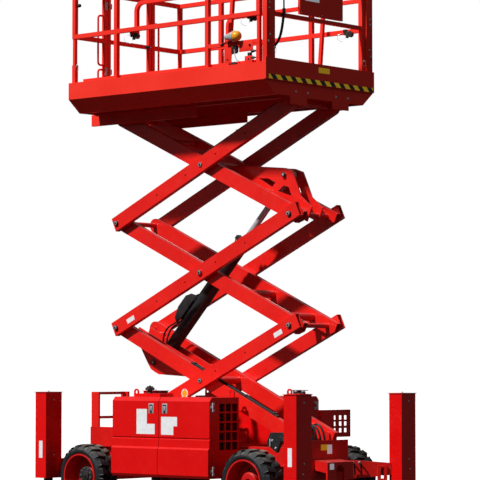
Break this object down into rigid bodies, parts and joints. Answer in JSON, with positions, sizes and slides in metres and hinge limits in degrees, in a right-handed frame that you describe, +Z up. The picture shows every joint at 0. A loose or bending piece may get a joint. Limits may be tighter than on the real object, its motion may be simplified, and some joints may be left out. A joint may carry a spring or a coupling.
{
  "type": "scissor lift aerial work platform",
  "caption": "Self-propelled scissor lift work platform on rough-terrain wheels, with outriggers, side housings, railed deck, roll-out extension and lift cylinder.",
  "frame": {"origin": "on the floor, at the middle of the overall length and width", "axes": "+X towards the steered front axle, +Z up, -Y the near side"},
  "size_m": [3.6619, 1.896, 5.5004],
  "materials": {
    "red_paint": "gloss red enamel",
    "frame_paint": "gloss red enamel on heavy plate",
    "rim_paint": "gloss red enamel",
    "black_paint": "satin black",
    "chrome_rod": "polished hard chrome",
    "tyre_rubber": "matt rubber",
    "grey_plastic": "textured",
    "hose_rubber": "matt black hose cover"
  },
  "bodies": {
    "chassis": {"main_frame": "frame_paint", "front_axle": "frame_paint", "rear_axle": "frame_paint", "outrigger_beams": "frame_paint", "outrigger_legs": "red_paint", "ladder": "red_paint", "near_housing": "red_paint", "far_housing": "red_paint", "wheel_guard": "black_paint", "service_blocks": "black_paint"},
    "front_near_steer": {"front_near_knuckle": "frame_paint"},
    "front_far_steer": {"front_far_knuckle": "frame_paint"},
    "front_near_wheel": {"front_near_tyre": "tyre_rubber", "front_near_rim": "rim_paint"},
    "front_near_door": {"front_near_door": "red_paint"},
    "front_near_jack": {"front_near_jack": "black_paint"},
    "front_far_wheel": {"front_far_tyre": "tyre_rubber", "front_far_rim": "rim_paint"},
    "front_far_door": {"front_far_door": "red_paint"},
    "front_far_jack": {"front_far_jack": "black_paint"},
    "rear_near_wheel": {"rear_near_tyre": "tyre_rubber", "rear_near_rim": "rim_paint"},
    "rear_near_door": {"rear_near_door": "red_paint"},
    "rear_near_jack": {"rear_near_jack": "black_paint"},
    "rear_far_wheel": {"rear_far_tyre": "tyre_rubber", "rear_far_rim": "rim_paint"},
    "rear_far_door": {"rear_far_door": "red_paint"},
    "rear_far_jack": {"rear_far_jack": "black_paint"},
    "inner_1": {"inner_arms_1": "red_paint", "arm_hoses": "hose_rubber"},
    "outer_1": {"outer_arms_1": "red_paint"},
    "inner_2": {"inner_arms_2": "red_paint"},
    "outer_2": {"outer_arms_2": "red_paint"},
    "inner_3": {"inner_arms_3": "red_paint"},
    "outer_3": {"outer_arms_3": "red_paint"},
    "barrel": {"lift_barrel": "black_paint"},
    "rod": {"lift_rod": "chrome_rod"},
    "platform": {"platform_deck": "red_paint", "platform_rails": "red_paint"},
    "gate": {"entry_gate": "red_paint"},
    "extension": {"extension_deck": "red_paint", "extension_rails": "red_paint", "control_box": "grey_plastic", "document_box": "red_paint", "control_cable": "hose_rubber"}
  },
  "joints": [
    {"name": "steer", "type": "hinge", "parent": "chassis", "child": "front_near_steer", "pos_m": [1.067, -0.592, 0.328], "axis": [0, 0, 1], "range_deg": [-30, 30]},
    {"name": "steer_far", "type": "hinge", "parent": "chassis", "child": "front_far_steer", "pos_m": [1.067, 0.592, 0.328], "axis": [0, 0, 1], "range_deg": [-30, 30]},
    {"name": "front_near_spin", "type": "hinge", "parent": "front_near_steer", "child": "front_near_wheel", "pos_m": [1.067, -0.727, 0.328], "axis": [0, 1, 0], "continuous": true},
    {"name": "front_far_spin", "type": "hinge", "parent": "front_far_steer", "child": "front_far_wheel", "pos_m": [1.067, 0.727, 0.328], "axis": [0, 1, 0], "continuous": true},
    {"name": "rear_near_spin", "type": "hinge", "parent": "chassis", "child": "rear_near_wheel", "pos_m": [-1.227, -0.727, 0.328], "axis": [0, 1, 0], "continuous": true},
    {"name": "rear_far_spin", "type": "hinge", "parent": "chassis", "child": "rear_far_wheel", "pos_m": [-1.227, 0.727, 0.328], "axis": [0, 1, 0], "continuous": true},
    {"name": "front_near_door_swing", "type": "hinge", "parent": "chassis", "child": "front_near_door", "pos_m": [0.614, -0.812, 0.752], "axis": [0, 0, 1], "range_deg": [0, 95]},
    {"name": "front_far_door_swing", "type": "hinge", "parent": "chassis", "child": "front_far_door", "pos_m": [0.614, 0.812, 0.752], "axis": [0, 0, -1], "range_deg": [0, 95]},
    {"name": "rear_near_door_swing", "type": "hinge", "parent": "chassis", "child": "rear_near_door", "pos_m": [-0.76, -0.812, 0.752], "axis": [0, 0, -1], "range_deg": [0, 95]},
    {"name": "rear_far_door_swing", "type": "hinge", "parent": "chassis", "child": "rear_far_door", "pos_m": [-0.76, 0.812, 0.752], "axis": [0, 0, 1], "range_deg": [0, 95]},
    {"name": "front_near_extend", "type": "slide", "parent": "chassis", "child": "front_near_jack", "axis": [0, 0, -1], "range_m": [0, 0.33]},
    {"name": "front_far_extend", "type": "slide", "parent": "chassis", "child": "front_far_jack", "axis": [0, 0, -1], "range_m": [0, 0.33]},
    {"name": "rear_near_extend", "type": "slide", "parent": "chassis", "child": "rear_near_jack", "axis": [0, 0, -1], "range_m": [0, 0.33]},
    {"name": "rear_far_extend", "type": "slide", "parent": "chassis", "child": "rear_far_jack", "axis": [0, 0, -1], "range_m": [0, 0.33]},
    {"name": "lift", "type": "hinge", "parent": "chassis", "child": "inner_1", "pos_m": [1.235, 0, 0.765], "axis": [0, 1, 0], "range_deg": [-20.95, 35.25]},
    {"name": "cross_1", "type": "hinge", "parent": "inner_1", "child": "outer_1", "pos_m": [0.02445, 0, 1.32307], "axis": [0, 1, 0], "range_deg": [-70.51, 41.91]},
    {"name": "fold_2", "type": "hinge", "parent": "inner_1", "child": "outer_2", "pos_m": [-1.18611, 0, 1.88115], "axis": [0, 1, 0], "range_deg": [-70.51, 41.91]},
    {"name": "cross_2", "type": "hinge", "parent": "outer_2", "child": "inner_2", "pos_m": [0.02445, 0, 2.43922], "axis": [0, 1, 0], "range_deg": [-41.91, 70.51]},
    {"name": "fold_3", "type": "hinge", "parent": "inner_2", "child": "outer_3", "pos_m": [-1.18611, 0, 2.99729], "axis": [0, 1, 0], "range_deg": [-70.51, 41.91]},
    {"name": "cross_3", "type": "hinge", "parent": "outer_3", "child": "inner_3", "pos_m": [0.02445, 0, 3.55537], "axis": [0, 1, 0], "range_deg": [-41.91, 70.51]},
    {"name": "level", "type": "hinge", "parent": "outer_3", "child": "platform", "pos_m": [1.235, 0, 4.11344], "axis": [0, 1, 0], "range_deg": [-20.96, 35.26]},
    {"name": "barrel_tilt", "type": "hinge", "parent": "inner_1", "child": "barrel", "pos_m": [-0.8741, 0, 1.50937], "axis": [0, 1, 0], "range_deg": [-77.56, 46.1]},
    {"name": "rod_slide", "type": "slide", "parent": "barrel", "child": "rod", "axis": [0.6904, 0, 0.7235], "range_m": [-0.5376, 0.90449]},
    {"name": "extension_slide", "type": "slide", "parent": "platform", "child": "extension", "axis": [1, 0, 0], "range_m": [0, 1.5]},
    {"name": "gate_swing", "type": "hinge", "parent": "platform", "child": "gate", "pos_m": [-1.3345, -0.331, 4.96544], "axis": [0, 0, -1], "range_deg": [0, 100]}
  ],
  "couplings": [
    {"joint": "steer_far", "follows": "steer", "ratio": 1},
    {"joint": "cross_1", "follows": "lift", "ratio": -2},
    {"joint": "fold_2", "follows": "lift", "ratio": -2},
    {"joint": "cross_2", "follows": "lift", "ratio": 2},
    {"joint": "fold_3", "follows": "lift", "ratio": -2},
    {"joint": "cross_3", "follows": "lift", "ratio": 2},
    {"joint": "level", "follows": "lift", "ratio": 1},
    {"joint": "barrel_tilt", "follows": "lift", "ratio": -2.2},
    {"joint": "rod_slide", "follows": "lift", "m_per_rad": 1.47}
  ]
}
